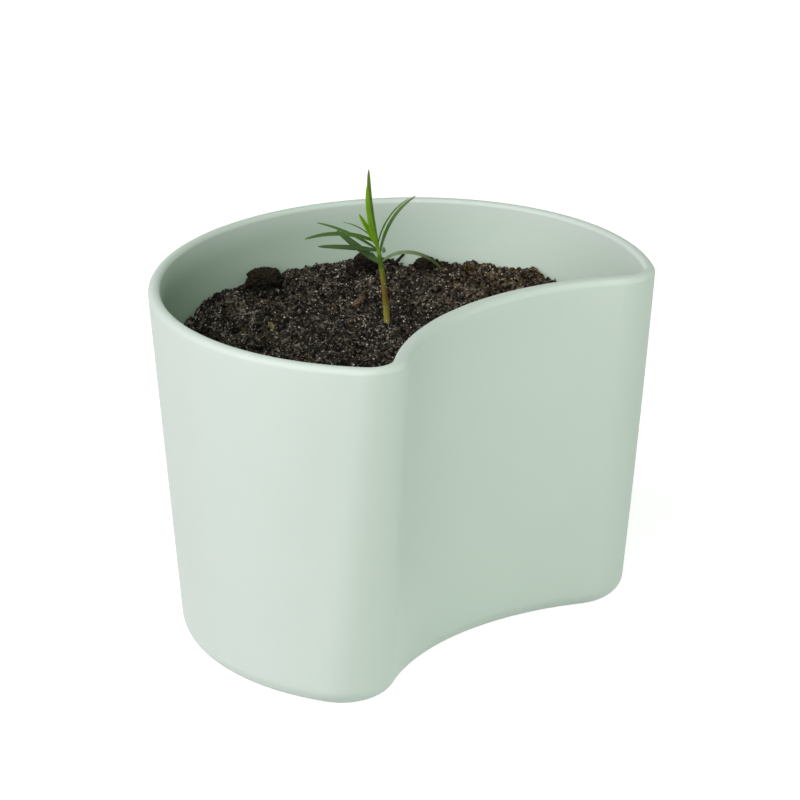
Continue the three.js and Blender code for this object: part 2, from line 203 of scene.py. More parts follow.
def plan(round_radius, bite, tip, fineness=1.0):
    tip = max(tip, SHARPEST_TIP)
    x, y = tip_centre(round_radius, bite, tip)
    round_end = math.atan2(y, x)
    bite_end = math.atan2(y + BITE_DISTANCE, x)
    tip_y = ROUND_CENTRE_Y + y
    steps = [round(fineness * n) for n in (200, 30, 70)]
    return (
        arc(0, ROUND_CENTRE_Y, round_radius, round_end, math.pi - round_end, steps[0])
        + arc(-x, tip_y, tip, math.pi - round_end, math.tau - bite_end, steps[1])
        + arc(0, ROUND_CENTRE_Y - BITE_DISTANCE, bite, math.pi - bite_end, bite_end, steps[2])
        + arc(x, tip_y, tip, math.pi + bite_end, math.tau + round_end, steps[1])
    )


def outer_plan(z, inwards):
    below = POT_HEIGHT - z
    return plan(
        RIM_RADIUS - below * math.tan(ROUND_DRAFT) - inwards,
        BITE_RADIUS + below * math.tan(BITE_DRAFT) + inwards,
        lerp(TIP_RADIUS, BASE_TIP_RADIUS, below / POT_HEIGHT) - inwards,
    )


def inner_plan(z, inwards, fineness=1.0):
    below = POT_HEIGHT - z
    return plan(
        RIM_RADIUS - below * math.tan(ROUND_DRAFT) - ROUND_WALL - inwards,
        BITE_RADIUS + below * math.tan(BITE_DRAFT) + BITE_WALL + inwards,
        lerp(INNER_TIP_RADIUS, INNER_BASE_TIP_RADIUS, below / POT_HEIGHT) - inwards,
        fineness,
    )


def raised(outline, z):
    return [(x, y, z) for x, y in outline]


# Materials

DAMP_SPECULAR = 0.08
# Painted shade: near black patches laid over the compost's colours.
PAINTED_SHADE_BLACK = (0.0030, 0.0030, 0.0026)
LARGE_PATCH_SHADE = 0.62

# A node tree's nodes and links, and the place in space that its patterns follow
Tree = namedtuple("Tree", "nodes links place")


def new_material(name):
    material = bpy.data.materials.new(name)
    material.use_nodes = True
    nodes = material.node_tree.nodes
    coordinates = nodes.new("ShaderNodeTexCoord")
    tree = Tree(nodes, material.node_tree.links, coordinates.outputs["Object"])
    return material, tree, nodes["Principled BSDF"]


def finish(shader, roughness, specular):
    shader.inputs["Roughness"].default_value = roughness
    shader.inputs["Specular IOR Level"].default_value = specular


def let_light_through(shader):
    """A little, as stems and leaves do."""
    shader.inputs["Subsurface Weight"].default_value = 0.15
    shader.inputs["Subsurface Scale"].default_value = 1 * MM


def noise_node(tree, scale, detail=3.0, roughness=0.55, distortion=0.0):
    node = tree.nodes.new("ShaderNodeTexNoise")
    tree.links.new(tree.place, node.inputs["Vector"])
    node.inputs["Scale"].default_value = scale
    node.inputs["Detail"].default_value = detail
    node.inputs["Roughness"].default_value = roughness
    node.inputs["Distortion"].default_value = distortion
    return node.outputs["Fac"]


def ramp_node(tree, value, stops):
    node = tree.nodes.new("ShaderNodeValToRGB")
    tree.links.new(value, node.inputs["Fac"])
    elements = node.color_ramp.elements
    while len(elements) < len(stops):
        elements.new(0.5)
    for element, (position, color) in zip(elements, stops):
        element.position = position
        element.color = (*color, 1)
    return node.outputs["Color"]


def level_node(tree, value, low, high, low_out=0.0, high_out=1.0):
    node = tree.nodes.new("ShaderNodeMapRange")
    tree.links.new(value, node.inputs["Value"])
    node.inputs["From Min"].default_value = low
    node.inputs["From Max"].default_value = high
    node.inputs["To Min"].default_value = low_out
    node.inputs["To Max"].default_value = high_out
    return node.outputs["Result"]


def attribute_node(tree, name):
    node = tree.nodes.new("ShaderNodeAttribute")
    node.attribute_name = name
    return node.outputs["Fac"]


def wandering_axis(tree, axis, scale, wander):
    """A coordinate that wanders by up to a distance, for zones with an uneven border."""
    split = tree.nodes.new("ShaderNodeSeparateXYZ")
    tree.links.new(tree.place, split.inputs["Vector"])
    node = tree.nodes.new("ShaderNodeMath")
    node.operation = "MULTIPLY_ADD"
    tree.links.new(noise_node(tree, scale, 3), node.inputs[0])
    node.inputs[1].default_value = wander
    tree.links.new(split.outputs[axis], node.inputs[2])
    return node.outputs[0]


def mix_node(tree, share, first, second):
    node = tree.nodes.new("ShaderNodeMix")
    node.data_type = "RGBA"
    tree.links.new(share, node.inputs["Factor"])
    for socket, value in (("A", first), ("B", second)):
        target = [s for s in node.inputs if s.name == socket and s.type == "RGBA"][0]
        if isinstance(value, tuple):
            target.default_value = (*value, 1)
        else:
            tree.links.new(value, target)
    return [s for s in node.outputs if s.type == "RGBA"][0]


def bump_node(tree, shader, height, strength, distance):
    node = tree.nodes.new("ShaderNodeBump")
    node.inputs["Strength"].default_value = strength
    node.inputs["Distance"].default_value = distance
    tree.links.new(height, node.inputs["Height"])
    tree.links.new(node.outputs["Normal"], shader.inputs["Normal"])


def pot_material():
    material, tree, shader = new_material("pot_satin")
    cloud = noise_node(tree, 26, 4)
    color = ramp_node(tree, cloud, [
        (0.3, (0.580, 0.686, 0.606)),
        (0.7, (0.598, 0.702, 0.624)),
    ])
    # The inner wall's greener tone is painted bounce light: the green cast that light takes between the pot's
    # walls.
    painted_bounce_green = ramp_node(tree, cloud, [
        (0.3, (0.562, 0.704, 0.588)),
        (0.7, (0.578, 0.718, 0.604)),
    ])
    inside = attribute_node(tree, "inside")
    tree.links.new(mix_node(tree, inside, color, painted_bounce_green), shader.inputs["Base Color"])
    sheen = level_node(tree, noise_node(tree, 900, 3), 0.3, 0.7, 0.46, 0.54)
    tree.links.new(sheen, shader.inputs["Roughness"])
    bump_node(tree, shader, noise_node(tree, 2600, 3), 0.06, 0.0002)
    return material


def compost_color(tree):
    """Black, brown and rusty patches: one pattern for all that the compost holds."""
    tone = ramp_node(tree, noise_node(tree, 150, 5, 0.65), [
        (0.30, (0.0180, 0.0185, 0.0165)),
        (0.44, (0.0420, 0.0390, 0.0300)),
        (0.54, (0.0800, 0.0670, 0.0440)),
        (0.64, (0.1350, 0.0950, 0.0540)),
        (0.72, (0.1600, 0.0920, 0.0520)),
    ])
    rightwards = wandering_axis(tree, "X", 60, 40 * MM)
    # Paler towards the right, and rust brown at the far right.
    pale_rightwards = level_node(tree, rightwards, 20 * MM, 50 * MM, 0.0, 0.65)
    rusty = level_node(tree, rightwards, 52 * MM, 80 * MM, 0.0, 0.85)
    paled_rightwards = mix_node(tree, pale_rightwards, tone, (0.122, 0.096, 0.062))
    return mix_node(tree, rusty, paled_rightwards, (0.200, 0.122, 0.045))


def painted_shade_patches(tree, color, most):
    """Paints shade over a colour in patches, darkening it by at most a share in the small ones."""
    large = level_node(tree, noise_node(tree, 105, 4, 0.65), 0.42, 0.55, LARGE_PATCH_SHADE * most, 0.0)
    small = level_node(tree, noise_node(tree, 260, 6, 0.78), 0.38, 0.52, most, 0.0)
    return mix_node(tree, small, mix_node(tree, large, color, PAINTED_SHADE_BLACK), PAINTED_SHADE_BLACK)


def grain_values(tree, scale):
    """Two random values for each small grain."""
    grains = tree.nodes.new("ShaderNodeTexVoronoi")
    tree.links.new(tree.place, grains.inputs["Vector"])
    grains.inputs["Scale"].default_value = scale
    split = tree.nodes.new("ShaderNodeSeparateColor")
    tree.links.new(grains.outputs["Color"], split.inputs["Color"])
    return split.outputs["Red"], split.outputs["Green"]


def compost_material(name):
    material, tree, shader = new_material(name)
    dark, light = grain_values(tree, 1400)
    dark_large, painted_glint = grain_values(tree, 900)
    color = compost_color(tree)
    for share, grain in (
        (level_node(tree, dark, 0.35, 0.6, 0.95, 0.0), (0.003, 0.003, 0.003)),
        (level_node(tree, dark_large, 0.1, 0.45, 0.6, 0.0), (0.004, 0.004, 0.004)),
        (level_node(tree, light, 0.74, 0.96, 0.0, 0.9), (0.38, 0.34, 0.28)),
        # The palest large grains are a painted glint.
        (level_node(tree, painted_glint, 0.93, 0.98, 0.0, 0.5), (0.30, 0.27, 0.22)),
    ):
        color = mix_node(tree, share, color, grain)
    tree.links.new(painted_shade_patches(tree, color, 0.85), shader.inputs["Base Color"])
    finish(shader, 0.9, DAMP_SPECULAR)
    bump_node(tree, shader, noise_node(tree, 2000, 5, 0.75), 1.0, 0.0008)
    return material


def clod_material():
    """Damp compost pressed into a lump: near black, with painted light in olive brown on its upward faces."""
    material, tree, shader = new_material("clod_skin")
    tone = ramp_node(tree, noise_node(tree, 420, 5, 0.7), [
        (0.35, (0.0050, 0.0046, 0.0038)),
        (0.55, (0.0120, 0.0100, 0.0072)),
        (0.75, (0.0280, 0.0215, 0.0140)),
    ])
    geometry = tree.nodes.new("ShaderNodeNewGeometry")
    split = tree.nodes.new("ShaderNodeSeparateXYZ")
    tree.links.new(geometry.outputs["Normal"], split.inputs["Vector"])
    # Painted light: faces that point upwards are lighter and olive brown.
    painted_top_light = level_node(tree, split.outputs["Z"], 0.25, 0.85, 0.0, 0.65)
    top = mix_node(tree, painted_top_light, tone, (0.040, 0.033, 0.019))
    _, light = grain_values(tree, 1600)
    color = mix_node(tree, level_node(tree, light, 0.92, 1.0, 0.0, 0.4), top, (0.10, 0.09, 0.075))
    tree.links.new(color, shader.inputs["Base Color"])
    finish(shader, 0.9, DAMP_SPECULAR)
    bump_node(tree, shader, noise_node(tree, 1300, 5, 0.75), 1.0, 0.0008)
    return material


def island_material(name, stops, own, painted_shade=0.85, roughness=0.8, bump=0.5):
    """Crumbs, grains or fibres: each takes a shade of its own, over the compost's patches."""
    material, tree, shader = new_material(name)
    geometry = tree.nodes.new("ShaderNodeNewGeometry")
    shade = ramp_node(tree, geometry.outputs["Random Per Island"], stops)
    stained = level_node(tree, noise_node(tree, 1500, 4, 0.7), 0.35, 0.65, 0.0, 1 - own)
    color = mix_node(tree, stained, shade, compost_color(tree))
    tree.links.new(painted_shade_patches(tree, color, painted_shade), shader.inputs["Base Color"])
    finish(shader, roughness, DAMP_SPECULAR)
    bump_node(tree, shader, noise_node(tree, 2600, 4, 0.7), bump, 0.0004)
    return material


def wood_material(name, dark, light, grain=900, painted_shade=0.0):
    material, tree, shader = new_material(name)
    streaks = noise_node(tree, grain, 5, 0.7, 1.5)
    color = ramp_node(tree, streaks, [(0.35, dark), (0.65, light)])
    tree.links.new(painted_shade_patches(tree, color, painted_shade), shader.inputs["Base Color"])
    finish(shader, 0.8, 0.1)
    bump_node(tree, shader, streaks, 0.8, 0.0005)
    return material


def stem_material():
    material, tree, shader = new_material("stem_skin")
    height = wandering_axis(tree, "Z", 320, 4 * MM)
    rise = level_node(tree, height, COMPOST_LEVEL + 2 * MM, COMPOST_LEVEL + 26 * MM)
    color = ramp_node(tree, rise, [
        (0.05, (0.265, 0.235, 0.060)),
        (0.18, (0.240, 0.225, 0.030)),
        (0.32, (0.170, 0.128, 0.012)),
        (0.42, (0.155, 0.104, 0.012)),
        (0.53, (0.178, 0.155, 0.010)),
        (0.66, (0.158, 0.172, 0.014)),
        (0.73, (0.145, 0.185, 0.016)),
        (0.775, (0.058, 0.122, 0.006)),
        (0.87, (0.064, 0.132, 0.008)),
        (0.90, (0.120, 0.250, 0.014)),
    ])
    tree.links.new(color, shader.inputs["Base Color"])
    finish(shader, 0.5, 0.2)
    let_light_through(shader)
    bump_node(tree, shader, noise_node(tree, 1500, 3), 0.3, 0.0002)
    return material


def needle_material(name, dark, light, margin, tip=None):
    """Green that varies along the blade, with a paler margin, a darker groove and a tip of its own."""
    material, tree, shader = new_material(name)
    mottle = ramp_node(tree, noise_node(tree, 260, 4), [(0.3, dark), (0.7, light)])
    across = attribute_node(tree, "across")
    rim = level_node(tree, across, 0.72, 1.0, 0.0, 0.7)
    edged = mix_node(tree, rim, mottle, margin)
    groove = level_node(tree, across, 0.0, 0.2, 0.45, 0.0)
    outwards = level_node(tree, attribute_node(tree, "along"), 0.45, 0.8, 0.0, 0.9)
    grooved = mix_node(tree, groove, edged, dark)
    tree.links.new(mix_node(tree, outwards, grooved, tip or light), shader.inputs["Base Color"])
    finish(shader, 0.5, 0.15)
    let_light_through(shader)
    bump_node(tree, shader, noise_node(tree, 2400, 2), 0.2, 0.0001)
    return material


# Pot

def quarter_turn(steps, first=0):
    """Sines and cosines of the angles from 0 to 90 degrees."""
    angles = [math.pi / 2 * i / steps for i in range(first, steps + 1)]
    return [(math.sin(angle), math.cos(angle)) for angle in angles]


def pot_rings():
    """Rings from the foot up the outside, over the lip and down to the floor.

    The second value is the number of rings before those of the inner wall.
    """
    edge, wall, lip = 14, 16, 10
    rings = [raised(outer_plan(0, BASE_ROUND + FOOT_WIDTH + inwards * MM), share * FOOT_HEIGHT)
             for inwards, share in FOOT_EDGE]
    for sine, cosine in quarter_turn(edge):
        z = BASE_ROUND * (1 - cosine)
        rings.append(raised(outer_plan(z, BASE_ROUND * (1 - sine)), z))
    for i in range(1, wall):
        z = lerp(BASE_ROUND, POT_HEIGHT - LIP_OUTER_ROUND, i / wall)
        rings.append(raised(outer_plan(z, 0), z))
    for sine, cosine in quarter_turn(lip):
        z = POT_HEIGHT - LIP_OUTER_ROUND * (1 - sine)
        rings.append(raised(outer_plan(z, LIP_OUTER_ROUND * (1 - cosine)), z))
    for sine, cosine in quarter_turn(lip):
        z = POT_HEIGHT - LIP_INNER_ROUND * (1 - cosine)
        rings.append(raised(inner_plan(z, -LIP_INNER_ROUND * (1 - sine)), z))
    outer = len(rings)
    for i in range(1, wall):
        z = lerp(POT_HEIGHT - LIP_INNER_ROUND, FLOOR_THICKNESS + FLOOR_ROUND, i / wall)
        rings.append(raised(inner_plan(z, 0), z))
    for sine, cosine in quarter_turn(lip):
        z = FLOOR_THICKNESS + FLOOR_ROUND * (1 - sine)
        rings.append(raised(inner_plan(z, FLOOR_ROUND * (1 - cosine)), z))
    return rings, outer


def build_pot():
    rings, outer = pot_rings()
    points, faces = skin(rings)
    piece = make_piece("pot_body", points, faces, pot_material(), "pot")
    # Marks the inner wall, which the material paints with the green of bounced light.
    add_layer(piece, "inside", [float(i >= outer) for i in range(len(rings)) for _ in rings[0]])
    piece.data.set_sharp_from_angle(angle=SHARP_EDGE)
    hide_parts("pot_shell")


# Compost

def smooth_step(low, high, value):
    share = min(max((value - low) / (high - low), 0.0), 1.0)
    return share * share * (3 - 2 * share)


def swells(x, y):
    """The level of the compost's top, in the same swells and bumps as its solid."""
    fall = COMPOST_FALL * smooth_step(FALL_START, FALL_END, -x)
    x, y = x / MM, y / MM
    long = math.sin(x / 17 + 0.6) * math.cos(y / 14 - 0.4)
    middle = math.sin(x / 7.3 + y / 9.1 + 2)
    short = math.sin(x / 4.1 - y / 5.3)
    bumps = math.sin(x / 1.7 + 1.4 * math.sin(y / 4.3)) * math.sin(y / 1.9 + 1.2 * math.sin(x / 3.9 + 1))
    swell = UNEVENNESS * (0.5 * long + 0.3 * middle + 0.2 * short)
    return COMPOST_LEVEL - fall + swell + CRUMB_HEIGHT * bumps


def crumbs_at(x, y, spacing, layer):
    """Rounded crumbs, from 0 in the gaps to 1 on their crowns."""
    distances, _ = noise.voronoi(Vector((x / spacing, y / spacing, layer)))
    return max(0.0, 1 - (distances[0] / CRUMB_REACH) ** 2)


def banked(x, y):
    """The swells, led over to the heights at which the compost meets the round wall."""
    depth = POT_HEIGHT - COMPOST_LEVEL
    wall = RIM_RADIUS - depth * math.tan(ROUND_DRAFT) - ROUND_WALL
    bearing = math.degrees(math.atan2(y - ROUND_CENTRE_Y, x))
    first, last = EDGE_HEIGHTS[0][0], EDGE_HEIGHTS[-1][0]
    share = 1 - smooth_step(BANK_START, BANK_END, wall - math.hypot(x, y - ROUND_CENTRE_Y))
    share *= smooth_step(first - BANK_FADE_DEGREES, first, bearing)
    share *= 1 - smooth_step(last, last + BANK_FADE_DEGREES, bearing)
    bearings, heights = zip(*EDGE_HEIGHTS)
    return lerp(swells(x, y), COMPOST_LEVEL + float(np.interp(bearing, bearings, heights)) * MM, share)


def compost_top(x, y):
    """The compost's level with its crumbs, which are larger in some zones and flatter at the stem."""
    here = Vector((x, y, 0))
    coarse = smooth_step(-0.3, 0.5, noise.noise(here / (13 * MM) + Vector((7, 3, 1))))
    holes = smooth_step(0.12, 0.40, noise.noise(here / (3.4 * MM) + Vector((2, 9, 5))))
    relief = 0.65 * noise.fractal(here / (4 * MM), 0.8, 2.1, 4) - 1.1 * holes + 0.2
    for share, (height, spacing, layer) in zip((coarse, 1, 1), CRUMB_LAYERS):
        relief += share * height * (crumbs_at(x, y, spacing * MM, layer) - MEAN_CRUMB)
    from_stem = math.hypot(x - STEM_FOOT.x, y - STEM_FOOT.y)
    calm = lerp(0.25, 1.0, smooth_step(1.5 * MM, 5 * MM, from_stem))
    return banked(x, y) + calm * relief * MM


def reach_table(outline):
    """The outline's distance from the origin, as a function of the bearing."""
    pairs = sorted((math.atan2(y, x), math.hypot(x, y)) for x, y in outline)
    angles, reaches = np.array(pairs).T
    return lambda angle: float(np.interp(angle, angles, reaches, period=math.tau))


def disc_point(u, v):
    """A square's point moved onto the unit disc, with even spacing."""
    if u == 0 and v == 0:
        return 0.0, 0.0
    if abs(u) > abs(v):
        radius, angle = u, math.pi / 4 * v / u
    else:
        radius, angle = v, math.pi / 2 - math.pi / 4 * u / v
    return radius * math.cos(angle), radius * math.sin(angle)


def compost_reach():
    return reach_table(inner_plan(COMPOST_LEVEL - UNEVENNESS, CLEARANCE))


def compost_grid(cells):
    """Points and faces of the compost's top, and its border as a loop of point numbers."""
    reach = compost_reach()
    index = {}
    points = []
    for row in range(cells + 1):
        for column in range(cells + 1):
            u, v = disc_point(2 * column / cells - 1, 2 * row / cells - 1)
            radius = math.hypot(u, v)
            far = reach(math.atan2(v, u)) if radius else 0.0
            x, y = u * far, v * far
            drop = EDGE_DROP * max(0.0, (radius - EDGE_START) / (1 - EDGE_START))
            index[row, column] = len(points)
            points.append((x, y, compost_top(x, y) - drop))
    faces = []
    for row in range(cells):
        for column in range(cells):
            faces.append((index[row, column], index[row, column + 1],
                          index[row + 1, column + 1], index[row + 1, column]))
    border = [index[0, i] for i in range(cells)] + [index[i, cells] for i in range(cells)]
    border += [index[cells, cells - i] for i in range(cells)] + [index[cells - i, 0] for i in range(cells)]
    return points, faces, border


def side_levels():
    """Height and distance from the pot's inner plan, down the root ball's side and round its edge."""
    bottom = FLOOR_THICKNESS + CLEARANCE
    side, edge = 20, 8
    levels = []
    for i in range(1, side + 1):
        levels.append((lerp(COMPOST_LEVEL - UNEVENNESS, bottom + FLOOR_ROUND, i / side), CLEARANCE))
    for sine, cosine in quarter_turn(edge, 1):
        levels.append((bottom + FLOOR_ROUND * (1 - sine), CLEARANCE + FLOOR_ROUND * (1 - cosine)))
    return levels


def add_ring(points, faces, above, ring_points):
    """Joins a new ring of points to the ring above it, and gives its point numbers."""
    ring = [len(points) + i for i in range(len(ring_points))]
    points += ring_points
    for i in range(len(ring)):
        j = (i + 1) % len(ring)
        faces.append((above[j], above[i], ring[i], ring[j]))
    return ring


def dent_at(spot):
    """How far the root ball's side stands back from its full reach."""
    dent = 0.35 + 0.3 * noise.noise(spot / (4 * MM)) + 0.35 * abs(noise.noise(spot / (1.4 * MM)))
    return max(dent, 0) * MM


def build_compost():
    """The root ball: its crumbly top, then its dented side and bottom down to the pot's floor."""
    points, faces, ring = compost_grid(CELLS)
    bearings = [math.atan2(points[i][1], points[i][0]) for i in ring]
    for z, inwards in side_levels():
        outline = reach_table(inner_plan(z, inwards))
        level = []
        for bearing in bearings:
            far = outline(bearing)
            far -= dent_at(Vector((far * math.cos(bearing), far * math.sin(bearing), z)))
            level.append((far * math.cos(bearing), far * math.sin(bearing), z))
        ring = add_ring(points, faces, ring, level)
    edge = [points[i] for i in ring]
    for share in (0.8, 0.6, 0.4, 0.2):
        level = [(x * share, y * share, FLOOR_THICKNESS + CLEARANCE) for x, y, _ in edge]
        ring = add_ring(points, faces, ring, level)
    faces.append(tuple(reversed(ring)))
    crumb = compost_material("compost_crumb")
    piece = make_piece("compost_ball", points, faces, crumb, "planting")
    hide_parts("compost")


def ball_shape(subdivisions):
    """Points and faces of a ball of triangles, radius 1."""
    maker = bmesh.new()
    bmesh.ops.create_icosphere(maker, subdivisions=subdivisions, radius=1)
    shape = [v.co.copy() for v in maker.verts]
    faces = [[v.index for v in f.verts] for f in maker.faces]
    maker.free()
    return shape, faces


def strewn_place(draw, reach, margin):
    """A random place on the compost, at least a margin away from its edge."""
    bearing = draw.uniform(-math.pi, math.pi)
    far = (reach(bearing) - margin) * math.sqrt(draw.random())
    return far * math.cos(bearing), far * math.sin(bearing)


def place_around(draw, spots, reach, margin):
    """A random place at the foot of one of the spots, each a place with an inner and an outer radius."""
    spot, inner, outer = draw.choice(spots)
    bearing = draw.uniform(-math.pi, math.pi)
    radius = lerp(inner, outer, draw.random() ** 1.5)
    x, y = spot.x + radius * math.cos(bearing), spot.y + radius * math.sin(bearing)
    most = reach(math.atan2(y, x)) - margin
    share = min(1.0, most / math.hypot(x, y))
    return share * x, share * y


def heap(name, material, count, size_range, fineness, seed, flatness, sink, roughness=0.45, spots=()):
    """Loose crumbs or grains, strewn over the compost's top or around spots on it.

    Flatness is a grain's height as a share of its width, and sink the buried share of its height.
    """
    draw = random.Random(seed)
    shape, sides = ball_shape(fineness)
    reach = compost_reach()
    points = []
    faces = []
    for _ in range(count):
        size = lerp(*size_range, draw.random() ** 2)
        if spots:
            x, y = place_around(draw, spots, reach, 1.5 * size)
        else:
            x, y = strewn_place(draw, reach, 1.5 * size)
        turn = (Matrix.Rotation(draw.uniform(0, math.tau), 3, "Z")
                @ Matrix.Rotation(draw.uniform(-0.7, 0.7), 3, "X"))
        stretch = size * Vector((draw.uniform(0.9, 1.4), draw.uniform(0.6, 1.0),
                                 flatness * draw.uniform(0.7, 1.1)))
        offset = Vector([draw.uniform(-50, 50) for _ in range(3)])
        centre = Vector((x, y, compost_top(x, y) + stretch.z * (1 - 2 * sink)))
        grain = []
        for point in shape:
            rough = 1 + roughness * noise.noise(point * 1.6 + offset)
            grain.append(centre + turn @ (rough * point * stretch))
        add_body(points, faces, grain, sides)
    make_piece(name, points, faces, material, "planting")


def tube(path, radii, sides):
    """Points and faces of a closed tube along a path, one radius for each point."""
    rings = []
    for i, here in enumerate(path):
        way = (path[min(i + 1, len(path) - 1)] - path[max(i - 1, 0)]).normalized()
        first = way.orthogonal().normalized()
        second = way.cross(first)
        angles = [math.tau * k / sides for k in range(sides)]
        rings.append([here + radii[i] * (math.cos(a) * first + math.sin(a) * second) for a in angles])
    return skin(rings)


def strands(name, material, count, length_range, radius_range, seed, lift):
    """Fine fibres that wander over the compost."""
    draw = random.Random(seed)
    reach = compost_reach()
    points = []
    faces = []
    steps = 8
    for _ in range(count):
        length = lerp(*length_range, draw.random() ** 2)
        radius = draw.uniform(*radius_range)
        x, y = strewn_place(draw, reach, length + radius)
        heading = draw.uniform(0, math.tau)
        bend = draw.uniform(-0.5, 0.5)
        arch = draw.uniform(0.1, 1.0) * lift
        path = []
        for step in range(steps + 1):
            share = step / steps
            z = compost_top(x, y) + radius + arch * math.sin(math.pi * share)
            path.append(Vector((x, y, z)))
            heading += bend + draw.uniform(-0.45, 0.45)
            x += length / steps * math.cos(heading)
            y += length / steps * math.sin(heading)
        radii = [radius * (1 - 0.5 * abs(2 * i / steps - 1)) for i in range(steps + 1)]
        add_body(points, faces, *tube(path, radii, 4))
    make_piece(name, points, faces, material, "planting")


# What lies on the compost, in mm and degrees: node, bearing from the round wall's centre,
# distance from that wall to its middle, half sizes, heading, tilt, height of its middle over
# the mean level, blockiness, seed of its roughness
LUMPS = (
    ("clod_left", 88.3, 6.5, (5.9, 4.6, 4.3), -44, 0, 2.5, 2.4, 10),
    ("clod_middle", 57.1, 7.8, (3.6, 3.3, 4.3), -44, 0, 1.7, 3.6, 22),
    ("clod_right", 39.7, 7.4, (4.5, 3.4, 3.3), -44, 0, 1.2, 1.5, 14),
    ("bark_chip", 68.4, 34.4, (3.4, 1.0, 0.8), 4, 29, 1.4, 3.0, 3),
)
# In mm and degrees, with the knot's place as a share of the length
TWIG = {
    "bearing": 48.6, "from_wall": 3.5, "length": 10, "radius": 0.75, "buried": 5.6,
    "heading": -44, "climb": 47.5, "knot": 0.74,
}


def seat(bearing, from_wall):
    """The point at the compost's mean level that lies off the round wall along a bearing."""
    depth = POT_HEIGHT - COMPOST_LEVEL
    radius = RIM_RADIUS - depth * math.tan(ROUND_DRAFT) - ROUND_WALL - from_wall * MM
    x = radius * math.cos(math.radians(bearing))
    y = ROUND_CENTRE_Y + radius * math.sin(math.radians(bearing))
    return Vector((x, y, COMPOST_LEVEL))


# Patches of bits that stand out: name, place, reach, number of bits, darkest and palest colour. mm.
PATCHES = (
    ("orange", (5.9, 11.6), 1.7, 30, (0.100, 0.055, 0.022), (0.380, 0.220, 0.090)),
    ("olive", (-18.2, 23.9), 4.0, 44, (0.050, 0.045, 0.018), (0.360, 0.330, 0.140)),
    ("yellow", (6.4, 39.1), 1.2, 12, (0.160, 0.170, 0.050), (0.460, 0.480, 0.150)),
    ("rust", (-12.5, 43.7), 3.6, 36, (0.045, 0.032, 0.020), (0.200, 0.140, 0.085)),
    ("straw", (43.5, 28.0), 2.4, 28, (0.080, 0.060, 0.038), (0.380, 0.310, 0.210)),
    ("bark", (14.5, 21.5), 4.0, 54, (0.030, 0.020, 0.012), (0.300, 0.210, 0.130)),
)
FIRST_PATCH_SEED = 70
# Long pale fibres: one end, the other end, sideways bow, radius. mm.
LONG_FIBRES = (
    ((-30.3, 27.7), (-23.7, 24.3), 0.6, 0.08),
    ((-19.4, 7.0), (-24.8, 1.5), 0.3, 0.09),
    ((19.2, 45.0), (18.5, 35.6), 1.2, 0.08),
    ((34.4, 20.1), (43.6, 27.2), 0.9, 0.10),
)


def build_patches():
    for i, (name, place, reach, count, dark, pale) in enumerate(PATCHES):
        spot = Vector((*place, 0)) * MM
        bits = island_material("patch_" + name, [(0.0, dark), (1.0, pale)], own=0.9, painted_shade=0.4)
        heap("patch_" + name, bits, count, (0.2 * MM, 0.6 * MM), fineness=2, seed=FIRST_PATCH_SEED + i,
             flatness=0.45, sink=0.25, roughness=0.8, spots=[(spot, 0.0, reach * MM)])


def build_long_fibres(material):
    points = []
    faces = []
    steps = 16
    for start, end, bow, radius in LONG_FIBRES:
        start, end = Vector(start) * MM, Vector(end) * MM
        side = (end - start).orthogonal().normalized()
        path = []
        for step in range(steps + 1):
            share = step / steps
            x, y = start.lerp(end, share) + bow * MM * math.sin(math.pi * share) * side
            path.append(Vector((x, y, compost_top(x, y) + 0.3 * MM)))
        add_body(points, faces, *tube(path, [radius * MM] * (steps + 1), 5))
    make_piece("compost_long_fibres", points, faces, material, "planting")


# Shades of the loose bits, each with its place on the scale from the darkest bit to the palest
CRUMB_TONES = [(0.0, (0.004, 0.004, 0.004)), (0.32, (0.022, 0.020, 0.016)), (0.62, (0.072, 0.060, 0.044)),
               (0.88, (0.180, 0.150, 0.110)), (1.0, (0.420, 0.370, 0.290))]
GRIT_TONES = [(0.0, (0.13, 0.115, 0.085)), (0.45, (0.32, 0.29, 0.235)), (0.75, (0.72, 0.68, 0.60)),
              (1.0, (0.97, 0.96, 0.92))]
BARK_TONES = [(0.0, (0.04, 0.028, 0.020)), (0.55, (0.10, 0.066, 0.040)), (0.85, (0.20, 0.125, 0.062)),
              (1.0, (0.30, 0.29, 0.12))]
FIBRE_TONES = [(0.0, (0.03, 0.024, 0.018)), (0.6, (0.12, 0.092, 0.062)), (1.0, (0.32, 0.27, 0.20))]
RUBBLE_TONES = [(0.0, (0.003, 0.003, 0.003)), (0.7, (0.010, 0.009, 0.008)), (1.0, (0.040, 0.034, 0.026))]
SPECK_TONES = [(0.0, (0.02, 0.016, 0.012)), (0.4, (0.20, 0.18, 0.14)), (1.0, (0.85, 0.83, 0.78))]


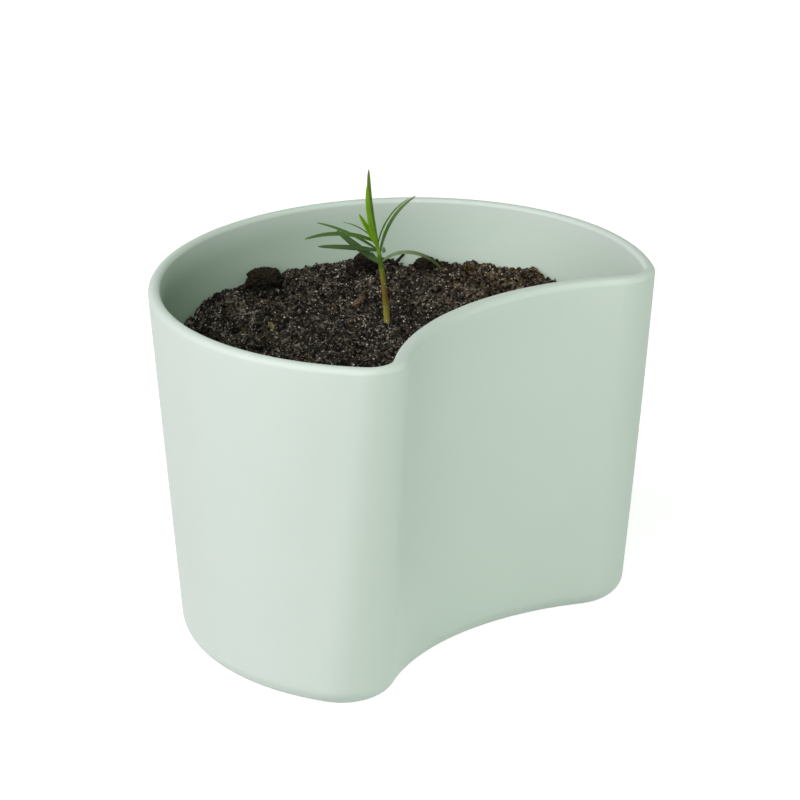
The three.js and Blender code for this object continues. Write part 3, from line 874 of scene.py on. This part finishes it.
def build_heaps():
    few = 1.0
    heap("compost_clumps", compost_material("clump_crumb"), round(480 * few), (0.6 * MM, 1.6 * MM),
         fineness=3, seed=11, flatness=0.8, sink=0.45, roughness=1.1)
    heap("compost_crumbs", island_material("crumb_dark", CRUMB_TONES, own=0.75), round(8200 * few),
         (0.16 * MM, 0.46 * MM), fineness=1, seed=12, flatness=0.85, sink=0.3)
    grit = island_material("grit_pale", GRIT_TONES, own=0.95, painted_shade=0.2, roughness=0.5, bump=0.2)
    heap("compost_grit", grit, round(6200 * few), (0.10 * MM, 0.30 * MM),
         fineness=1, seed=23, flatness=0.9, sink=0.2)
    heap("compost_bark_bits", island_material("bark_bits", BARK_TONES, own=0.55), round(75 * few),
         (0.4 * MM, 1.0 * MM), fineness=2, seed=33, flatness=0.3, sink=0.3, roughness=0.8)
    fibre = island_material("fibre_pale", FIBRE_TONES, own=0.8, painted_shade=0.5)
    strands("compost_fibres", fibre, round(1300 * few), (1.5 * MM, 5 * MM), (0.04 * MM, 0.09 * MM),
            seed=41, lift=0.6 * MM)
    root = island_material("root_pale", FIBRE_TONES, own=0.9, painted_shade=0.0)
    strands("compost_roots", root, round(60 * few), (3.5 * MM, 8 * MM), (0.09 * MM, 0.13 * MM),
            seed=47, lift=0.9 * MM)
    feet = [(seat(bearing, from_wall), 0.9 * half[0] * MM, 1.6 * half[0] * MM)
            for node, bearing, from_wall, half, *_ in LUMPS if node.startswith("clod")]
    rubble = island_material("rubble_black", RUBBLE_TONES, own=0.8, painted_shade=0.3)
    heap("compost_rubble", rubble, round(260 * few), (0.3 * MM, 0.75 * MM),
         fineness=2, seed=52, flatness=0.85, sink=0.35, roughness=0.9, spots=feet)
    build_patches()
    build_long_fibres(island_material("long_fibre", FIBRE_TONES[1:], own=1.0, painted_shade=0.0))


def lump_radius(point, half, power):
    """How far a lump's blocky, uneven skin lies from its middle, along a direction."""
    block = sum(abs(c) ** power for c in point) ** (-1 / power)
    swell = math.sin(3.1 * point.x + half[0]) * math.cos(2.7 * point.y + half[1])
    dent = math.sin(5.3 * point.z + 4.1 * point.x + half[2])
    return block * (0.91 + 0.07 * swell + 0.04 * dent)


def build_lump(node, form, material, grain, uneven):
    bearing, from_wall, half, heading, tilt, rise, power, seed = form
    shape, faces = ball_shape(6)
    place = seat(bearing, from_wall) + Vector((0, 0, rise * MM))
    turn = Matrix.Rotation(math.radians(heading), 3, "Z") @ Matrix.Rotation(-math.radians(tilt), 3, "Y")
    points = []
    for point in shape:
        rough = uneven * noise.fractal(point * 2.2 + Vector((seed, 0, 0)), 0.7, 2.2, 5)
        crumb = uneven * noise.noise(point * grain + Vector((0, seed, 0))) * (1.3 - point.z)
        size = lump_radius(point, half, power) + rough + crumb - 0.05
        local = Vector((point.x * half[0], point.y * half[1], point.z * half[2])) * size * MM
        points.append(place + turn @ local)
    piece = make_piece(node + "_rough", points, faces, material, "planting")
    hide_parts(node)


def build_twig():
    start = seat(TWIG["bearing"], TWIG["from_wall"])
    heading, climb = math.radians(TWIG["heading"]), math.radians(TWIG["climb"])
    way = towards(heading, climb)
    side = way.orthogonal().normalized()
    path = []
    radii = []
    steps = 40
    for i in range(steps + 1):
        share = i / steps
        along = lerp(-TWIG["buried"], TWIG["length"] - TWIG["buried"], share)
        knot = 1 + 0.35 * math.exp(-((share - TWIG["knot"]) / 0.05) ** 2)
        rough = 1 + 0.25 * noise.noise(Vector((9 * share, 3, 1)))
        path.append(start + (along * way + 0.12 * math.sin(9 * share) * side) * MM)
        radii.append(TWIG["radius"] * lerp(1, 0.55, share) * knot * rough * 0.9 * MM)
    points, faces = tube(path, radii, 12)
    bark = wood_material("twig_bark", (0.005, 0.005, 0.004), (0.028, 0.024, 0.017))
    piece = make_piece("twig_rough", points, faces, bark, "planting")
    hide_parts("twig")


def build_lumps():
    clod = clod_material()
    bark = wood_material("bark_chip_grain", (0.004, 0.003, 0.002), (0.36, 0.25, 0.16),
                         grain=480, painted_shade=0.9)
    for node, *form in LUMPS:
        if node == "bark_chip":
            build_lump(node, form, bark, grain=8, uneven=0.3)
        else:
            build_lump(node, form, clod, grain=7, uneven=0.14)


# Seedling

# Grains that stick to the stem, and the share of its height that they reach
SPECKS = 46
SPECKED_SHARE = 0.62
# A needle's section: thickness as a share of its width, depth and width of its grooves
BLADE_THICKNESS = 0.42
GROOVE_DEPTH = 0.45
GROOVE_WIDTH = 0.22


def stem_point(height):
    lean = STEM_LEAN * max(height / STEM_HEIGHT, 0) ** STEM_LEAN_POWER
    x, y = lean * math.cos(STEM_LEAN_HEADING), lean * math.sin(STEM_LEAN_HEADING)
    return STEM_FOOT + Vector((x, y, height))


def stem_radius(height):
    if height < 0:
        return lerp(STEM_RADIUS, ROOT_TIP_RADIUS, min(-height / ROOT_LENGTH, 1))
    to_top = min(max(1 - (STEM_HEIGHT - height) / STEM_TOP_ROUND, 0), 1)
    return lerp(STEM_RADIUS, STEM_TIP_RADIUS, height / STEM_HEIGHT) * max(0.15, math.sqrt(1 - to_top ** 2))


def build_stem():
    sides = 20
    steps = 90
    rings = []
    for i in range(steps + 1):
        height = lerp(-ROOT_LENGTH, STEM_HEIGHT, i / steps)
        middle = stem_point(height)
        ring = []
        for side in range(sides):
            way = towards(math.tau * side / sides)
            relief = STEM_RELIEF * noise.noise((middle + way * MM) / STEM_RELIEF_SPACING)
            ring.append(middle + way * (stem_radius(height) * (1 + relief)))
        rings.append(ring)
    points, faces = skin(rings)
    piece = make_piece("stem_shoot", points, faces, stem_material(), "planting")
    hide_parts("stem")


def build_stem_specks():
    """Grains of compost that stick to the lower half of the stem."""
    draw = random.Random(61)
    shape, sides = ball_shape(1)
    points = []
    faces = []
    for _ in range(SPECKS):
        height = STEM_HEIGHT * SPECKED_SHARE * draw.random() ** 1.3
        bearing = draw.uniform(0, math.tau)
        size = draw.uniform(0.09, 0.19) * MM
        centre = stem_point(height) + towards(bearing) * stem_radius(height)
        add_body(points, faces, [centre + size * point for point in shape], sides)
    grit = island_material("stem_grit", SPECK_TONES, own=1.0, painted_shade=0.0)
    make_piece("stem_specks", points, faces, grit, "planting")


# Greens of a needle: its darkest, its palest, its margin and, where it isn't the palest, its tip
GREENS = {
    "green": ((0.038, 0.090, 0.016), (0.068, 0.148, 0.022), (0.13, 0.23, 0.05)),
    "pale": ((0.040, 0.092, 0.016), (0.078, 0.165, 0.028), (0.17, 0.27, 0.07), (0.125, 0.205, 0.060)),
    "long": ((0.036, 0.084, 0.014), (0.064, 0.134, 0.020), (0.10, 0.19, 0.04), (0.050, 0.110, 0.020)),
    "deep": ((0.020, 0.058, 0.008), (0.036, 0.092, 0.013), (0.06, 0.12, 0.03)),
    "bluish": ((0.024, 0.066, 0.013), (0.042, 0.098, 0.022), (0.07, 0.14, 0.04)),
    "greyish": ((0.100, 0.160, 0.064), (0.155, 0.230, 0.100), (0.27, 0.34, 0.18), (0.022, 0.036, 0.004)),
    "olive": ((0.066, 0.135, 0.014), (0.118, 0.215, 0.022), (0.16, 0.26, 0.04)),
    "young": ((0.105, 0.235, 0.006), (0.185, 0.375, 0.012), (0.24, 0.43, 0.03)),
    "bright": ((0.115, 0.270, 0.004), (0.195, 0.390, 0.005), (0.23, 0.45, 0.01)),
}
BUD_GREENS = ((0.100, 0.185, 0.095), (0.165, 0.265, 0.150), (0.16, 0.26, 0.14))

# In mm and degrees: node, green, distance below the stem's top, heading, climb, turn over its
# length, length, width, roll
NEEDLES = (
    ("left_broad", "bluish", 5.3, 100, 21, 6, 17.0, 2.0, -54),
    ("right_droop", "greyish", 5.2, -63, 48, -98, 21.1, 1.15, 50),
    ("left_low", "deep", 1.5, 128, 7, -10, 17.6, 1.45, -60),
    ("left_top", "green", 1.5, 115, 32, -27, 20.2, 1.05, -25),
    ("right_outer", "pale", 3.3, -75, 82, -47, 24.5, 1.1, 80),
    ("right_inner", "pale", -0.2, -5, 75, -62, 17.1, 0.75, 0),
    ("left_long", "long", -1.0, 151, 31, -45, 22.1, 1.35, -45),
    ("left_small", "green", -0.9, 95, 36, -44, 14.0, 0.6, 0),
    ("crown_tall", "olive", 1.1, 100, 74, 18, 23.8, 1.6, -30),
    ("crown_second", "young", 1.1, 174, 67, 26, 20.6, 1.6, -100),
    ("crown_short", "bright", 0.5, 149, 64, -2, 11.8, 1.5, -70),
)
# In mm and degrees
BUD = {"below_top": 1.4, "heading": -44, "half": (0.6, 0.6, 0.95)}


def needle_taper(share):
    """A needle's width along its length, as a share of the full."""
    swelling = 0.5 + 0.5 * math.sin(math.pi * min(share / 0.7, 0.5))
    narrowing = math.sqrt(max(1 - share ** 4, 0))
    return max(swelling * narrowing, 0.08)


def blade_height(angle):
    """How far a needle's skin stands off its middle plane, where its half width is 1."""
    groove = GROOVE_DEPTH * math.exp(-(math.cos(angle) / GROOVE_WIDTH) ** 2)
    return BLADE_THICKNESS * math.sin(angle) * (1 - groove)


def build_needle(name, material, below_top, heading, climb, turn, length, width, roll):
    steps, sides = 40, 16
    angles = [math.tau * side / sides for side in range(sides)]
    along = towards(math.radians(heading))
    level = Vector((-along.y, along.x, 0))
    roll = math.radians(roll)
    middle = stem_point(STEM_HEIGHT - below_top * MM)
    length, width = length * MM, width * MM
    rings = []
    for i in range(steps + 1):
        share = i / steps
        angle = math.radians(climb + turn * share)
        upright = along * -math.sin(angle) + UP * math.cos(angle)
        across = level * math.cos(roll) + upright * math.sin(roll)
        keel = upright * math.cos(roll) - level * math.sin(roll)
        half = width / 2 * needle_taper(share)
        rings.append([middle + across * half * math.cos(a) + keel * (half * blade_height(a)) for a in angles])
        next_angle = math.radians(climb + turn * (share + 0.5 / steps))
        middle = middle + (along * math.cos(next_angle) + UP * math.sin(next_angle)) * (length / steps)
    points, faces = skin(rings)
    piece = make_piece("blade_" + name, points, faces, material, "planting")
    add_layer(piece, "across", [abs(math.cos(a)) for a in angles] * len(rings))
    add_layer(piece, "along", [i / steps for i in range(len(rings)) for _ in angles])
    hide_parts("needle_" + name)


def build_bud(material):
    """A small bud that stands beside the whorl: overlapping scales over a core."""
    height = STEM_HEIGHT - BUD["below_top"] * MM
    half = BUD["half"]
    reach = stem_radius(height) + CLEARANCE + half[0] * MM
    place = stem_point(height) + reach * towards(math.radians(BUD["heading"]))
    shape, faces = ball_shape(5)
    points = []
    for point in shape:
        turn = math.atan2(point.y, point.x)
        scales = 0.10 * abs(math.sin(2.5 * turn + 4 * point.z)) + 0.05 * math.sin(9 * point.z)
        slim = 1 - 0.35 * max(point.z, 0)
        size = (0.86 + scales) * MM
        scaled = Vector((point.x * half[0] * slim, point.y * half[1] * slim, point.z * half[2]))
        points.append(place + size * scaled)
    piece = make_piece("bud_scales", points, faces, material, "planting")
    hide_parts("bud")


def build_seedling():
    build_stem()
    build_stem_specks()
    greens = {name: needle_material("needle_" + name, *colors) for name, colors in GREENS.items()}
    for name, green, *form in NEEDLES:
        build_needle(name, greens[green], *form)
    build_bud(needle_material("bud_green", *BUD_GREENS))


# Stage

def build_stage():
    mesh = bpy.data.meshes.new("floor")
    far = FLOOR_REACH
    mesh.from_pydata([(-far, -far, 0), (far, -far, 0), (far, far, 0), (-far, far, 0)], [], [(0, 1, 2, 3)])
    floor = bpy.data.objects.new("floor", mesh)
    bpy.context.scene.collection.objects.link(floor)
    material, tree, shader = new_material("floor_white")
    shader.inputs["Base Color"].default_value = (FLOOR_GREY, FLOOR_GREY, FLOOR_GREY, 1)
    finish(shader, 0.9, 0.0)
    lift_by_ray(tree, shader, FLOOR_GLOW)
    mesh.materials.append(material)


def lift_by_ray(tree, shader, strength):
    """Glows a little towards the camera and in reflections only, so the floor reads as white."""
    path = tree.nodes.new("ShaderNodeLightPath")
    widest = path.outputs["Is Camera Ray"]
    for other in ("Is Glossy Ray", "Is Transmission Ray"):
        node = tree.nodes.new("ShaderNodeMath")
        node.operation = "MAXIMUM"
        tree.links.new(widest, node.inputs[0])
        tree.links.new(path.outputs[other], node.inputs[1])
        widest = node.outputs[0]
    scale = tree.nodes.new("ShaderNodeMath")
    scale.operation = "MULTIPLY"
    tree.links.new(widest, scale.inputs[0])
    scale.inputs[1].default_value = strength
    shader.inputs["Emission Color"].default_value = (1, 1, 1, 1)
    tree.links.new(scale.outputs[0], shader.inputs["Emission Strength"])


def build_world():
    world = bpy.data.worlds.new("studio")
    bpy.context.scene.world = world
    world.use_nodes = True
    tree = Tree(world.node_tree.nodes, world.node_tree.links, None)
    background = tree.nodes["Background"]
    diffuse = tree.nodes.new("ShaderNodeLightPath").outputs["Is Diffuse Ray"]
    tint = mix_node(tree, diffuse, (1.0, 1.0, 1.0), SHADE_TINT)
    tree.links.new(tint, background.inputs["Color"])
    strength = level_node(tree, diffuse, 0, 1, 1.0, SHADE_LIGHT)
    tree.links.new(strength, background.inputs["Strength"])


def build_lamp(name, place, width, height, power, tint):
    light = bpy.data.lights.new(name, "AREA")
    light.shape = "RECTANGLE" if height < width else "DISK"
    light.size = width
    light.size_y = height
    light.energy = power
    light.color = tint
    lamp = bpy.data.objects.new(name, light)
    bpy.context.scene.collection.objects.link(lamp)
    lamp.location = place
    lamp.rotation_mode = "QUATERNION"
    lamp.rotation_quaternion = (place - LAMP_AIM).to_track_quat("Z", "Y")
    lamp.visible_camera = False


def compass(heading, rise):
    """A direction by its heading, clockwise from +Y, and its angle over the horizon."""
    level = math.cos(rise)
    return Vector((level * math.sin(heading), level * math.cos(heading), math.sin(rise)))


def build_camera():
    data = bpy.data.cameras.new("camera")
    data.lens = CAMERA_LENS
    data.sensor_width = SENSOR
    camera = bpy.data.objects.new("camera", data)
    bpy.context.scene.collection.objects.link(camera)
    ahead = compass(CAMERA_HEADING, -CAMERA_TILT)
    right = ahead.cross(UP).normalized()
    above = right.cross(ahead)
    c, s = math.cos(CAMERA_ROLL), math.sin(CAMERA_ROLL)
    turned_right = right * c + above * s
    turned_above = above * c - right * s
    turn = Matrix((turned_right, turned_above, -ahead)).transposed()
    camera.matrix_world = Matrix.Translation(CAMERA_PLACE) @ turn.to_4x4()
    data.clip_start, data.clip_end = 0.01, 50
    bpy.context.scene.camera = camera


# Name, bearing from the camera (positive to its left) and elevation in degrees, width, height,
# power in watts, tint
LAMPS = (
    ("key", 70, 25, 0.9, 0.9, 11.4, (1.0, 0.90, 0.99)),
    ("high", 40, 55, 0.9, 0.9, 10.5, (1.0, 0.925, 1.0)),
    ("front", 10, 25, 0.9, 0.9, 9.6, (1.0, 0.955, 0.965)),
    ("right_low", -75, 4, 0.9, 0.22, 9.2, (0.955, 0.985, 0.955)),
    ("right_high", -40, 55, 0.9, 0.9, 2.8, (0.7, 1.0, 0.7)),
)


def build_lights():
    for name, bearing, elevation, width, height, power, tint in LAMPS:
        heading = CAMERA_HEADING + math.pi + math.radians(bearing)
        place = LAMP_DISTANCE * compass(heading, math.radians(elevation))
        build_lamp(name, place, width, height, power, tint)


build_camera()
build_stage()
build_world()
build_lights()
build_pot()
build_compost()
build_heaps()
build_lumps()
build_twig()
build_seedling()

scene = bpy.context.scene
scene.view_settings.view_transform = "Standard"
